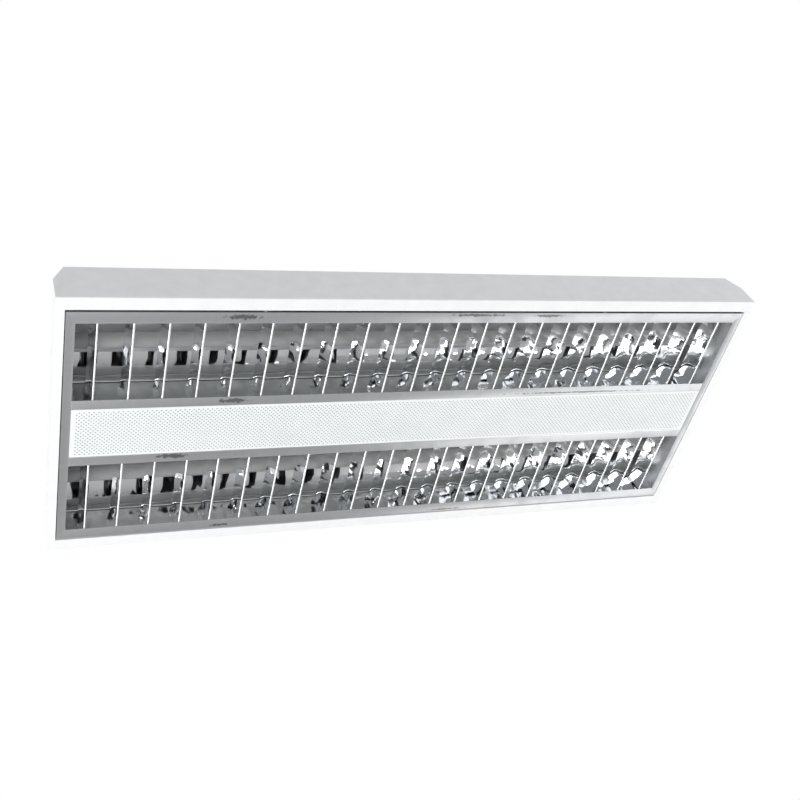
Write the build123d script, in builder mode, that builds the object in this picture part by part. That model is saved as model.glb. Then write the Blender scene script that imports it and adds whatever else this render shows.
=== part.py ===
"""Surface-mounted louvre light fitting for two fluorescent tubes.

A folded steel tray is screwed to the ceiling. Its room face is a white frame round one long
opening, and in that opening sits the optic: an aluminium frame with two mirrored troughs,
22 cross blades in each, and a white perforated panel between them. The optic hinges down along
the far long side, so that the tubes above it can be turned out of their holders.

Frame: origin at the middle of the ceiling face, +Z up into the ceiling, +X along the length,
+Y towards the hinge side. Millimetres.
"""
from build123d import *
import math
import os

os.makedirs("parts", exist_ok=True)

# Housing
length = 1250.0
width = 520.0
depth = 83.0
end_wall_height = 48.0
end_slope_inset = 18.5
sheet = 0.8
fold_radius = 2.0
side_margin = 22.0
end_margin = 13.5
lip_height = 8.0
fixing_spacing_x = 900.0
fixing_spacing_y = 300.0
fixing_hole_radius = 3.0
end_roof_flange = 7.0
cable_hole_radius = 11.0
grommet_flange_radius = 14.0
grommet_flange = 2.5
grommet_bore_radius = 6.0

# Optic: gaps round it, rails, troughs
side_gap = 3.5
end_gap = 1.5
rail_sheet = 1.0
side_rail = 20.3
end_rail = 14.0
mid_rail = 18.2
trough_width = 146.4
rail_upstand = 12.0
mid_upstand = 10.0
reflector_sheet = 0.5
reflector_height = 34.5
reflector_top_half = 66.7
reflector_foot = 7.0
reflector_top_flange = 5.0
reflector_start_lean = 2.0

# Cross blades
blade_count = 22
blade_pitch = 53.75
blade_height = 34.0
blade_top_width = 15.6
blade_tip_width = 2.8
blade_sheet = 0.4
blade_tip_lean = 2.5
blade_recess = 0.4
blade_clearance = 0.1

# Centre panel
panel_sheet = 0.8
panel_upstand = 8.0
panel_clearance = 0.1
film_thickness = 0.6

# Tubes and their holders
tube_radius = 13.0
tube_wall = 0.8
tube_face_to_face = 1199.4
tube_depth = 24.0
cap_length = 9.5
cap_radius = 12.8
pin_radius = 1.18
pin_spacing = 12.7
pin_length = 7.1
rotor_radius = 9.0
rotor_clearance = 0.06
rotor_length = 8.0
holder_front_gap = 0.5
holder_thickness = 12.0
holder_width = 30.0
holder_foot = 5.0
holder_foot_depth = 12.0
holder_bore_depth = 8.5
holder_slot = 3.2
rotor_slot = 2.6
rotor_slot_depth = 7.2

# Reflectors above the tubes, gear cover and gear
tray_sheet = 0.6
tray_flat_half = 39.5
tray_mouth_half = 66.9
tray_depth = 43.2
tray_hem = 2.0
cover_half_width = 54.0
cover_foot = 10.0
cover_depth = 26.0
cover_length = 1150.0
access_hole_radius = 7.0
screw_radius = 1.6
screw_head_radius = 3.5
screw_head = 2.0
screw_short_of_ceiling = 0.2
ballast_length = 359.0
ballast_width = 30.0
ballast_height = 21.0
ballast_start = 70.0
ballast_foot = 22.0
ballast_foot_sheet = 1.0
ballast_terminal = 13.0
ballast_terminal_height = 15.0
block_start = -95.0
block_length = 50.0
block_width = 20.0
block_height = 16.0

# Hinges and catches of the optic
hinge_x = 420.0
hinge_axis_inset = 5.0
hinge_axis_height = 5.0
hinge_pin_radius = 1.5
hinge_pin_clearance = 0.05
hinge_eye_radius = 3.5
hinge_ear_gap = 14.0
hinge_ear_sheet = 1.5
catch_x = 310.0
catch_height = 7.0
plunger_radius = 2.5
plunger_clearance = 0.06
plunger_travel = 2.5
catch_gap = 0.3

# Worked-out places
half_length = length / 2
half_width = width / 2
face_z = -depth
slope_z = face_z + end_wall_height
roof_z = -sheet
opening_half_x = half_length - end_margin
opening_half_y = half_width - side_margin
optic_half_x = opening_half_x - end_gap
optic_half_y = opening_half_y - side_gap
trough_half_x = optic_half_x - end_rail
trough_outer = optic_half_y - side_rail
trough_inner = trough_outer - trough_width
trough_centre = (trough_outer + trough_inner) / 2
panel_half = trough_inner - mid_rail
rail_top = face_z + rail_sheet
tube_z = -tube_depth
tube_end = tube_face_to_face / 2
hinge_y = optic_half_y - hinge_axis_inset
hinge_z = face_z + hinge_axis_height
blade_xs = [(i - (blade_count - 1) / 2) * blade_pitch for i in range(blade_count)]
tray_mouth_z = roof_z - tray_depth
inner_fold = fold_radius - sheet
tray_screws = [(x, side * trough_centre) for x in (-560, -200, 200, 560) for side in (-1, 1)]
cover_screws = [(x, side * (cover_half_width + cover_foot / 2)) for x in (-540, 540) for side in (-1, 1)]
ballast_screws = [(ballast_start + 5, 0), (ballast_start + ballast_length - 5, 0)]
block_screws = [(block_start + 6, 0), (block_start + block_length - 6, 0)]


def folded_strip(points, thickness, radius):
    """Section of a sheet folded along points, with its material on the right of the path."""
    with BuildSketch() as strip:
        with BuildLine():
            FilletPolyline(*points, radius=radius)
            offset(amount=thickness, side=Side.RIGHT)
        make_face()
    return strip.sketch_local


def keep(piece, name):
    """Name a finished piece and write it out."""
    piece.part.label = name
    export_step(piece.part, f"parts/{name}.step")


# Housing body: roof, long walls, room-face flanges and their turned-up lips, in one folded sheet
with BuildPart() as housing_body:
    with BuildSketch(Plane.YZ.offset(-half_length)):
        add(folded_strip(
            [
                (-opening_half_y, face_z + lip_height),
                (-opening_half_y, face_z),
                (-half_width, face_z),
                (-half_width, 0),
                (half_width, 0),
                (half_width, face_z),
                (opening_half_y, face_z),
                (opening_half_y, face_z + lip_height),
            ],
            sheet,
            [sheet, fold_radius, fold_radius, fold_radius, fold_radius, sheet],
        ))
    extrude(amount=length)
    # The long walls follow the sloped ends
    with BuildSketch(Plane.XZ):
        for side in (-1, 1):
            with BuildLine():
                Polyline(
                    (side * half_length, slope_z),
                    (side * (half_length - end_slope_inset), 0),
                    (side * half_length, 0),
                    close=True,
                )
            make_face()
    extrude(amount=half_width, both=True, mode=Mode.SUBTRACT)
    # The end caps bring their own room-face flange between the lips
    with BuildSketch(Plane.XY.offset(face_z + sheet)):
        for side in (-1, 1):
            with Locations((side * half_length, 0)):
                Rectangle(2 * end_margin, 2 * (opening_half_y + sheet))
    extrude(amount=lip_height, mode=Mode.SUBTRACT)
    # Ceiling fixing holes, the cable entry and the holes for the screws inside
    with BuildSketch(Plane.XY):
        with GridLocations(fixing_spacing_x, fixing_spacing_y, 2, 2):
            Circle(fixing_hole_radius)
        Circle(cable_hole_radius)
        with Locations(*tray_screws, *cover_screws, *ballast_screws, *block_screws):
            Circle(screw_radius)
    extrude(amount=-2 * sheet, mode=Mode.SUBTRACT)
keep(housing_body, "housing_body")

# End caps: straight wall, sloped top and room-face flange, tucked inside the long walls
for side, side_name in ((-1, "left"), (1, "right")):
    with BuildPart() as end_cap:
        with BuildSketch(Plane.XZ.offset(-(half_width - sheet))):
            with BuildLine():
                FilletPolyline(
                    (side * (half_length - end_slope_inset - end_roof_flange), roof_z),
                    (side * (half_length - end_slope_inset), roof_z),
                    (side * half_length, slope_z),
                    (side * half_length, face_z + sheet),
                    (side * opening_half_x, face_z + sheet),
                    radius=[sheet, fold_radius, sheet],
                )
                offset(amount=sheet, side=Side.RIGHT if side > 0 else Side.LEFT)
            make_face()
        extrude(amount=2 * (half_width - sheet))
        # It is rounded to lie in the folds of the long walls
        inner_width = width - 2 * sheet
        inner_depth = depth - 2 * sheet
        with BuildSketch(Plane.YZ.offset(-length)):
            with Locations((0, -depth / 2)):
                Rectangle(width, depth)
                Rectangle(inner_width, inner_depth - 2 * inner_fold, mode=Mode.SUBTRACT)
                Rectangle(inner_width - 2 * inner_fold, inner_depth, mode=Mode.SUBTRACT)
                with GridLocations(
                    inner_width - 2 * inner_fold, inner_depth - 2 * inner_fold, 2, 2
                ):
                    Circle(inner_fold, mode=Mode.SUBTRACT)
        extrude(amount=2 * length, mode=Mode.SUBTRACT)
        # Flange flush with the room face, between the long flanges
        with BuildSketch(Plane.XZ.offset(-opening_half_y)):
            with Locations((side * (opening_half_x + end_margin / 2), face_z)):
                Rectangle(end_margin, sheet, align=(Align.CENTER, Align.MIN))
            with Locations((side * (opening_half_x + sheet / 2), face_z)):
                Rectangle(sheet, lip_height, align=(Align.CENTER, Align.MIN))
        extrude(amount=2 * opening_half_y)
    keep(end_cap, f"end_cap_{side_name}")

# Rubber bush in the cable entry
with BuildPart() as cable_grommet:
    with BuildSketch():
        Circle(cable_hole_radius)
        Circle(grommet_bore_radius, mode=Mode.SUBTRACT)
    extrude(amount=-sheet)
    with BuildSketch(Plane.XY.offset(roof_z)):
        Circle(grommet_flange_radius)
        Circle(grommet_bore_radius, mode=Mode.SUBTRACT)
    extrude(amount=-grommet_flange)
    fillet(
        cable_grommet.edges().filter_by(GeomType.CIRCLE).group_by(Axis.Z)[0].sort_by(SortBy.RADIUS)[-1],
        grommet_flange / 3,
    )
keep(cable_grommet, "cable_grommet")

# Mirror tray above each tube, screwed up to the roof
for side, side_name in ((-1, "near"), (1, "far")):
    with BuildPart() as tray:
        with BuildSketch(Plane.YZ.offset(-tube_end + holder_front_gap)):
            with Locations((side * trough_centre, 0)):
                add(folded_strip(
                    [
                        (-tray_mouth_half, tray_mouth_z - tray_hem),
                        (-tray_mouth_half, tray_mouth_z),
                        (-tray_flat_half, roof_z),
                        (tray_flat_half, roof_z),
                        (tray_mouth_half, tray_mouth_z),
                        (tray_mouth_half, tray_mouth_z - tray_hem),
                    ],
                    tray_sheet,
                    2 * tray_sheet,
                ))
        extrude(amount=2 * (tube_end - holder_front_gap))
        with BuildSketch(Plane.XY):
            with GridLocations(fixing_spacing_x, fixing_spacing_y, 2, 2):
                Circle(access_hole_radius)
            with Locations(*tray_screws):
                Circle(screw_radius)
        extrude(amount=-3 * sheet, mode=Mode.SUBTRACT)
    keep(tray, f"reflector_tray_{side_name}")

# Cover over the gear, between the two trays
with BuildPart() as gear_cover:
    with BuildSketch(Plane.YZ.offset(-cover_length / 2)):
        add(folded_strip(
            [
                (cover_half_width + cover_foot, roof_z - tray_sheet),
                (cover_half_width, roof_z - tray_sheet),
                (cover_half_width, roof_z - cover_depth),
                (-cover_half_width, roof_z - cover_depth),
                (-cover_half_width, roof_z - tray_sheet),
                (-cover_half_width - cover_foot, roof_z - tray_sheet),
            ],
            tray_sheet,
            [tray_sheet, 2 * tray_sheet, 2 * tray_sheet, tray_sheet],
        ))
    extrude(amount=cover_length)
    with BuildSketch(Plane.XY):
        with Locations(*cover_screws):
            Circle(screw_radius)
    extrude(amount=-3 * sheet, mode=Mode.SUBTRACT)
keep(gear_cover, "gear_cover")

# Electronic ballast: tin case with screw feet and a plastic terminal at each end
ballast_middle = ballast_start + ballast_length / 2
ballast_case_length = ballast_length - 2 * ballast_foot
with BuildPart() as ballast:
    with BuildSketch(Plane.XY.offset(roof_z)):
        with Locations((ballast_middle, 0)):
            Rectangle(ballast_length, ballast_width)
    extrude(amount=-ballast_foot_sheet)
    with BuildSketch(Plane.XY.offset(roof_z - ballast_foot_sheet)):
        with Locations((ballast_middle, 0)):
            Rectangle(ballast_case_length, ballast_width)
    extrude(amount=-(ballast_height - ballast_foot_sheet))
    fillet(ballast.faces().sort_by(Axis.Z)[0].edges(), 1.5)
    with BuildSketch(Plane.XY):
        with Locations(*ballast_screws):
            Circle(screw_radius)
    extrude(amount=-3 * sheet, mode=Mode.SUBTRACT)
keep(ballast, "ballast")

with BuildPart() as ballast_terminals:
    for end in (-1, 1):
        terminal_x = ballast_middle + end * (ballast_case_length + ballast_terminal) / 2
        with BuildSketch(Plane.XY.offset(roof_z - ballast_foot_sheet)):
            with Locations((terminal_x, 0)):
                Rectangle(ballast_terminal, ballast_width - 4)
        extrude(amount=-ballast_terminal_height)
        with BuildSketch(Plane.YZ.offset(terminal_x + end * ballast_terminal / 2)):
            with Locations((0, roof_z - ballast_foot_sheet - ballast_terminal_height / 2)):
                with GridLocations(5, 0, 4, 1):
                    Rectangle(3, 5)
        extrude(amount=-end * 6, mode=Mode.SUBTRACT)
keep(ballast_terminals, "ballast_terminals")

# Mains terminal block beside the cable entry
with BuildPart() as terminal_block:
    with BuildSketch(Plane.XY.offset(roof_z)):
        with Locations((block_start + block_length / 2, 0)):
            Rectangle(block_length, block_width)
    extrude(amount=-3)
    with BuildSketch(Plane.XY.offset(roof_z - 3)):
        with Locations((block_start + block_length / 2, 0)):
            with GridLocations(9, 0, 3, 1):
                Rectangle(7, block_width)
    extrude(amount=-(block_height - 3))
    with BuildSketch(Plane.XY.offset(roof_z - block_height)):
        with Locations((block_start + block_length / 2, 0)):
            with GridLocations(9, 11, 3, 2):
                Circle(1.8)
    extrude(amount=8, mode=Mode.SUBTRACT)
    with BuildSketch(Plane.XY):
        with Locations(*block_screws):
            Circle(screw_radius)
    extrude(amount=-5 * sheet, mode=Mode.SUBTRACT)
keep(terminal_block, "terminal_block")


def write_screws(name, places, head_top):
    """Pan-head screws driven up from inside, their heads under head_top."""
    with BuildPart() as screws:
        with BuildSketch(Plane.XY.offset(-screw_short_of_ceiling)):
            with Locations(*places):
                Circle(screw_radius)
        extrude(amount=head_top + screw_short_of_ceiling)
        with BuildSketch(Plane.XY.offset(head_top)):
            with Locations(*places):
                Circle(screw_head_radius)
        extrude(amount=-screw_head)
        fillet(screws.faces().group_by(Axis.Z)[0].edges(), screw_head / 3)
    keep(screws, name)


write_screws("tray_screws", tray_screws, roof_z - tray_sheet)
write_screws("cover_screws", cover_screws, roof_z - tray_sheet)
write_screws("ballast_screws", ballast_screws, roof_z - ballast_foot_sheet)
write_screws("block_screws", block_screws, roof_z - 3)

# Tubes with their caps, pins and the rotors that turn with them
holder_front = tube_end + holder_front_gap
for side, side_name in ((-1, "near"), (1, "far")):
    axis_y = side * trough_centre
    tube_plane = Plane.YZ.offset(-(tube_end - cap_length))
    with BuildPart() as tube:
        with BuildSketch(tube_plane):
            with Locations((axis_y, tube_z)):
                Circle(tube_radius)
                Circle(tube_radius - tube_wall, mode=Mode.SUBTRACT)
        extrude(amount=2 * (tube_end - cap_length))
    keep(tube, f"tube_{side_name}")

    with BuildPart() as caps:
        for end in (-1, 1):
            with BuildSketch(Plane.YZ.offset(end * (tube_end - cap_length))):
                with Locations((axis_y, tube_z)):
                    Circle(cap_radius)
            extrude(amount=end * cap_length)
        fillet(caps.edges().filter_by(GeomType.CIRCLE).group_by(Axis.X)[0], 0.8)
        fillet(caps.edges().filter_by(GeomType.CIRCLE).group_by(Axis.X)[-1], 0.8)
    keep(caps, f"tube_caps_{side_name}")

    with BuildPart() as pins:
        for end in (-1, 1):
            with BuildSketch(Plane.YZ.offset(end * tube_end)):
                with Locations((axis_y, tube_z)):
                    with GridLocations(pin_spacing, 0, 2, 1):
                        Circle(pin_radius)
            extrude(amount=end * pin_length)
    keep(pins, f"tube_pins_{side_name}")

    with BuildPart() as rotors:
        for end in (-1, 1):
            with BuildSketch(Plane.YZ.offset(end * holder_front)):
                with Locations((axis_y, tube_z)):
                    Circle(rotor_radius)
            extrude(amount=end * rotor_length)
            with BuildSketch(Plane.YZ.offset(end * holder_front)):
                with Locations((axis_y, tube_z)):
                    Rectangle(2 * rotor_radius, rotor_slot)
            extrude(amount=end * rotor_slot_depth, mode=Mode.SUBTRACT)
    keep(rotors, f"holder_rotors_{side_name}")

    for end, end_name in ((-1, "left"), (1, "right")):
        with BuildPart() as holder:
            with BuildSketch(Plane.YZ.offset(end * holder_front)):
                with Locations((axis_y, tube_z)):
                    Circle(holder_width / 2)
                    Rectangle(
                        holder_width, tube_depth - 2 * sheet, align=(Align.CENTER, Align.MIN)
                    )
            extrude(amount=end * holder_thickness)
            # Only a thin foot reaches the roof, clear of the sloped end wall
            with BuildSketch(Plane.YZ.offset(end * (holder_front + holder_foot))):
                with Locations((axis_y, 0)):
                    Rectangle(
                        holder_width, holder_foot_depth + 2 * sheet, align=(Align.CENTER, Align.MAX)
                    )
            extrude(amount=end * holder_thickness, mode=Mode.SUBTRACT)
            # Seat of the rotor and the slot that lets the pins in from below
            with BuildSketch(Plane.YZ.offset(end * holder_front)):
                with Locations((axis_y, tube_z)):
                    Circle(rotor_radius + rotor_clearance)
                    Rectangle(holder_slot, holder_width, align=(Align.CENTER, Align.MAX))
            extrude(amount=end * holder_bore_depth, mode=Mode.SUBTRACT)
        keep(holder, f"lampholder_{side_name}_{end_name}")

# Optic frame: mitred flat rails with a turned-up outer edge
notch_half = hinge_ear_gap / 2 + 2 * hinge_ear_sheet
for side, side_name in ((-1, "near"), (1, "far")):
    with BuildPart() as long_rail:
        with BuildSketch(Plane.XY.offset(face_z)):
            with BuildLine():
                Polyline(
                    (-optic_half_x, side * optic_half_y),
                    (optic_half_x, side * optic_half_y),
                    (trough_half_x, side * trough_outer),
                    (-trough_half_x, side * trough_outer),
                    close=True,
                )
            make_face()
        extrude(amount=rail_sheet)
        with BuildSketch(Plane.XY.offset(rail_top)):
            with Locations((0, side * (optic_half_y - rail_sheet / 2))):
                Rectangle(2 * optic_half_x, rail_sheet)
        extrude(amount=rail_upstand - rail_sheet)
        if side > 0:
            # Notches where the hinge ears reach in
            with BuildSketch(Plane.XY.offset(rail_top)):
                with Locations((-hinge_x, optic_half_y), (hinge_x, optic_half_y)):
                    Rectangle(2 * notch_half, 3 * rail_sheet)
            extrude(amount=rail_upstand, mode=Mode.SUBTRACT)
        else:
            # Holes for the catch plungers
            with BuildSketch(Plane.XZ.offset(optic_half_y)):
                with Locations((-catch_x, face_z + catch_height), (catch_x, face_z + catch_height)):
                    Circle(plunger_radius + plunger_clearance)
            extrude(amount=-2 * rail_sheet, mode=Mode.SUBTRACT)
    keep(long_rail, f"optic_rail_{side_name}")

for side, side_name in ((-1, "left"), (1, "right")):
    with BuildPart() as short_rail:
        with BuildSketch(Plane.XY.offset(face_z)):
            with BuildLine():
                Polyline(
                    (side * optic_half_x, -optic_half_y),
                    (side * optic_half_x, optic_half_y),
                    (side * trough_half_x, trough_outer),
                    (side * trough_half_x, -trough_outer),
                    close=True,
                )
            make_face()
        extrude(amount=rail_sheet)
        with BuildSketch(Plane.XY.offset(rail_top)):
            with Locations((side * (optic_half_x - rail_sheet / 2), 0)):
                Rectangle(rail_sheet, 2 * (optic_half_y - rail_sheet))
        extrude(amount=rail_upstand - rail_sheet)
    keep(short_rail, f"optic_rail_{side_name}")

for side, side_name in ((-1, "near"), (1, "far")):
    with BuildPart() as middle_rail:
        with BuildSketch(Plane.YZ.offset(-trough_half_x)):
            with BuildLine():
                FilletPolyline(
                    (side * trough_inner, face_z),
                    (side * panel_half, face_z),
                    (side * panel_half, face_z + mid_upstand),
                    radius=rail_sheet,
                )
                offset(amount=rail_sheet, side=Side.RIGHT if side > 0 else Side.LEFT)
            make_face()
        extrude(amount=2 * trough_half_x)
    keep(middle_rail, f"optic_rail_mid_{side_name}")

# Angle pieces that hold the frame's corners
with BuildPart() as corner_angles:
    with BuildSketch(Plane.XY.offset(rail_top)):
        for end in (-1, 1):
            for side in (-1, 1):
                corner_x = end * (optic_half_x - rail_sheet)
                corner_y = side * (optic_half_y - rail_sheet)
                with Locations((corner_x - end * end_rail * 0.4, corner_y - side * rail_sheet / 2)):
                    Rectangle(end_rail * 0.8, rail_sheet)
                with Locations((corner_x - end * rail_sheet / 2, corner_y - side * end_rail * 0.4)):
                    Rectangle(rail_sheet, end_rail * 0.8)
    extrude(amount=rail_upstand - 2 * rail_sheet)
keep(corner_angles, "corner_angles")


def wall_arc(inner_half):
    """The curved trough wall, from the rail's edge up to the mouth of the tray above."""
    lean = math.radians(reflector_start_lean)
    return TangentArc(
        (inner_half, rail_top),
        (inner_half - trough_width / 2 + reflector_top_half, rail_top + reflector_height),
        tangent=(-math.sin(lean), math.cos(lean)),
    )


# Specular trough walls: a foot on the rail, the curved wall, a stiffening flange on top
with BuildSketch() as wall_section:
    with BuildLine():
        Line((trough_width / 2 + reflector_foot, rail_top), (trough_width / 2, rail_top))
        curve = wall_arc(trough_width / 2)
        Line(curve @ 1, curve @ 1 + Vector(reflector_top_flange, 0))
        offset(amount=reflector_sheet, side=Side.RIGHT)
    make_face()

for side, side_name in ((-1, "near"), (1, "far")):
    for place, place_name in ((-1, "inner"), (1, "outer")):
        with BuildPart() as wall:
            with BuildSketch(Plane.YZ.offset(-trough_half_x)):
                with Locations((side * trough_centre, 0)):
                    if side * place > 0:
                        add(wall_section.sketch_local)
                    else:
                        add(mirror(wall_section.sketch_local, about=Plane.YZ, mode=Mode.PRIVATE))
            extrude(amount=2 * trough_half_x)
        keep(wall, f"trough_wall_{side_name}_{place_name}")

# Outline of a trough's inside, used by the end plates and the cross blades
with BuildSketch() as trough_section:
    with BuildLine():
        right = wall_arc(trough_width / 2)
        left = mirror(right, about=Plane.YZ)
        Line((trough_width / 2, face_z), (trough_width / 2, rail_top))
        Line((-trough_width / 2, face_z), (-trough_width / 2, rail_top))
        Line((-trough_width / 2, face_z), (trough_width / 2, face_z))
        Line(right @ 1, left @ 1)
    make_face()

for side, side_name in ((-1, "near"), (1, "far")):
    with BuildPart() as ends:
        for end in (-1, 1):
            with BuildSketch(Plane.YZ.offset(end * trough_half_x)):
                with Locations((side * trough_centre, 0)):
                    add(trough_section.sketch_local)
                    with Locations((0, face_z)):
                        Rectangle(
                            trough_width, rail_sheet, align=(Align.CENTER, Align.MIN),
                            mode=Mode.SUBTRACT,
                        )
            extrude(amount=end * reflector_sheet)
            with BuildSketch(Plane.XY.offset(rail_top)):
                with Locations((end * (trough_half_x + reflector_foot / 2), side * trough_centre)):
                    Rectangle(reflector_foot, trough_width - 1)
            extrude(amount=reflector_sheet)
    keep(ends, f"trough_ends_{side_name}")

# Cross blades: folded V with hollowed flanks, wide above and thin at the tip
blade_tip_radius = blade_tip_width / 2
blade_tip_z = face_z + blade_recess
lean = math.radians(blade_tip_lean)
with BuildSketch() as blade_section:
    with BuildLine():
        TangentArc(
            (blade_tip_radius, blade_tip_z + blade_tip_radius),
            (blade_top_width / 2, blade_tip_z + blade_height),
            tangent=(math.sin(lean), math.cos(lean)),
        )
        offset(amount=blade_sheet, side=Side.LEFT)
    make_face()
    mirror(about=Plane.YZ)
    with Locations((0, blade_tip_z + blade_tip_radius)):
        Circle(blade_tip_radius)

for side, side_name in ((-1, "near"), (1, "far")):
    with BuildPart() as blades:
        with BuildSketch(Plane.XZ.offset(-side * trough_centre)):
            for x in blade_xs:
                with Locations((x, 0)):
                    add(blade_section.sketch_local)
        extrude(amount=trough_width / 2, both=True)
        with BuildSketch(Plane.YZ.offset(-trough_half_x)):
            with Locations((side * trough_centre, 0)):
                add(trough_section.sketch_local)
            offset(amount=-blade_clearance, kind=Kind.INTERSECTION)
        extrude(amount=2 * trough_half_x, mode=Mode.INTERSECT)
    keep(blades, f"cross_blades_{side_name}")

# Centre panel, the film that lies in it, and the rivets that join it to the middle rails
panel_edge = panel_half - panel_clearance
with BuildPart() as centre_panel:
    with BuildSketch(Plane.YZ.offset(-trough_half_x + panel_clearance)):
        add(folded_strip(
            [
                (panel_edge, face_z + panel_upstand),
                (panel_edge, face_z),
                (-panel_edge, face_z),
                (-panel_edge, face_z + panel_upstand),
            ],
            panel_sheet,
            panel_sheet,
        ))
    extrude(amount=2 * (trough_half_x - panel_clearance))
keep(centre_panel, "centre_panel")

with BuildPart() as diffuser_film:
    with BuildSketch(Plane.XY.offset(face_z + panel_sheet)):
        Rectangle(2 * trough_half_x - 4, 2 * (panel_edge - panel_sheet - 0.5))
    extrude(amount=film_thickness)
keep(diffuser_film, "diffuser_film")

# Hinges: folded brackets on the long wall, pins, and lugs on the optic
ear_outer = hinge_ear_gap / 2 + hinge_ear_sheet
arm_underside = hinge_z + hinge_axis_inset + 0.4
arm_height = 8.0
bracket_top = arm_underside + 30.0
with BuildPart() as hinge_brackets:
    for x in (-hinge_x, hinge_x):
        with BuildSketch(Plane.YZ.offset(x - ear_outer)):
            with Locations((hinge_y - hinge_eye_radius, arm_underside)):
                Rectangle(
                    half_width - sheet - hinge_y + hinge_eye_radius, arm_height,
                    align=(Align.MIN, Align.MIN),
                )
            with Locations((hinge_y, hinge_z)):
                Circle(hinge_eye_radius)
                Rectangle(
                    2 * hinge_eye_radius, arm_underside - hinge_z + arm_height,
                    align=(Align.CENTER, Align.MIN),
                )
        extrude(amount=2 * ear_outer)
        with BuildSketch(Plane.YZ.offset(x - hinge_ear_gap / 2)):
            with Locations((half_width - sheet - hinge_ear_sheet, hinge_z - 2 * hinge_eye_radius)):
                Rectangle(half_width, bracket_top - hinge_z, align=(Align.MAX, Align.MIN))
        extrude(amount=hinge_ear_gap, mode=Mode.SUBTRACT)
        with BuildSketch(Plane.XZ.offset(-(half_width - sheet))):
            with Locations((x, arm_underside)):
                Rectangle(
                    2 * ear_outer, bracket_top - arm_underside, align=(Align.CENTER, Align.MIN)
                )
        extrude(amount=hinge_ear_sheet)
    with BuildSketch(Plane.YZ.offset(-half_length)):
        with Locations((hinge_y, hinge_z)):
            Circle(hinge_pin_radius)
    extrude(amount=length, mode=Mode.SUBTRACT)
keep(hinge_brackets, "hinge_brackets")

with BuildPart() as hinge_pins:
    for x in (-hinge_x, hinge_x):
        with BuildSketch(Plane.YZ.offset(x - ear_outer)):
            with Locations((hinge_y, hinge_z)):
                Circle(hinge_pin_radius)
        extrude(amount=2 * ear_outer + 1)
        with BuildSketch(Plane.YZ.offset(x - ear_outer)):
            with Locations((hinge_y, hinge_z)):
                Circle(hinge_pin_radius + 0.8)
        extrude(amount=-1)
keep(hinge_pins, "hinge_pins")

lug_half = hinge_ear_gap / 2 - 1.5
with BuildPart() as hinge_lugs:
    for x in (-hinge_x, hinge_x):
        with BuildSketch(Plane.YZ.offset(x - lug_half)):
            with Locations((hinge_y, hinge_z)):
                Circle(hinge_eye_radius)
                Rectangle(
                    2 * hinge_eye_radius, hinge_z - rail_top, align=(Align.CENTER, Align.MAX)
                )
                Circle(hinge_pin_radius + hinge_pin_clearance, mode=Mode.SUBTRACT)
        extrude(amount=2 * lug_half)
keep(hinge_lugs, "hinge_lugs")

# Spring catches: barrels behind the near rail and plungers that press on the lip
barrel_length = side_rail - rail_sheet - reflector_foot - 0.3
with BuildPart() as catch_barrels:
    for x in (-catch_x, catch_x):
        with BuildSketch(Plane.XZ.offset(optic_half_y - rail_sheet)):
            with Locations((x, rail_top)):
                Rectangle(12, 2 * (catch_height - rail_sheet), align=(Align.CENTER, Align.MIN))
            with Locations((x, face_z + catch_height)):
                Circle(plunger_radius + plunger_clearance, mode=Mode.SUBTRACT)
        extrude(amount=-barrel_length)
keep(catch_barrels, "catch_barrels")

plunger_nose = opening_half_y - catch_gap
for side, side_name in ((-1, "left"), (1, "right")):
    with BuildPart() as plunger:
        with BuildSketch(Plane.XZ.offset(plunger_nose)):
            with Locations((side * catch_x, face_z + catch_height)):
                Circle(plunger_radius)
        extrude(amount=-(side_gap - catch_gap + rail_sheet + barrel_length - plunger_travel - 0.5))
        fillet(plunger.faces().sort_by(Axis.Y)[0].edges(), plunger_radius * 0.7)
    keep(plunger, f"catch_plunger_{side_name}")
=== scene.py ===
import math

import bmesh
import bpy
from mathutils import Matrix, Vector


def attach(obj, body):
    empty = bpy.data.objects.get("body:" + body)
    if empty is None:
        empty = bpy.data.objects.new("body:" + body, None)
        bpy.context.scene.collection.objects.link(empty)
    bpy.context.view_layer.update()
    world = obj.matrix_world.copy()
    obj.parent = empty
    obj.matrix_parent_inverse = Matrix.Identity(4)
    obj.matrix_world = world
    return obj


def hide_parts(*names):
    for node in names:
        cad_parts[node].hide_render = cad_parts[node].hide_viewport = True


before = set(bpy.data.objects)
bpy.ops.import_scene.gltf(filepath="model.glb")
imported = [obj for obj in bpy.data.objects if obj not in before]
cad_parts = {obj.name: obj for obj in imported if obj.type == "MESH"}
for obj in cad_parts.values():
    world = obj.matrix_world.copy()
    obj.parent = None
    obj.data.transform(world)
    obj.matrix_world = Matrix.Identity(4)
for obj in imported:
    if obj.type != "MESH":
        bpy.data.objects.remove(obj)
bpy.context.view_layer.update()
scene = bpy.context.scene
scene.view_settings.view_transform = "Standard"

# Camera. It stands to the lower left of the fixture and looks up at its room face, as the
# photograph was taken. Its lens is a short telephoto one.
camera_data = bpy.data.cameras.new("camera")
camera_data.sensor_fit = "HORIZONTAL"
camera_data.sensor_width = 36
camera_data.lens = 48.5
camera = bpy.data.objects.new("camera", camera_data)
camera.rotation_mode = "QUATERNION"
camera.rotation_quaternion = (0.329910, 0.923817, -0.051384, -0.187300)
camera.location = (-0.75921, -1.16226, -1.42493)
scene.collection.objects.link(camera)
scene.camera = camera

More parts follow.
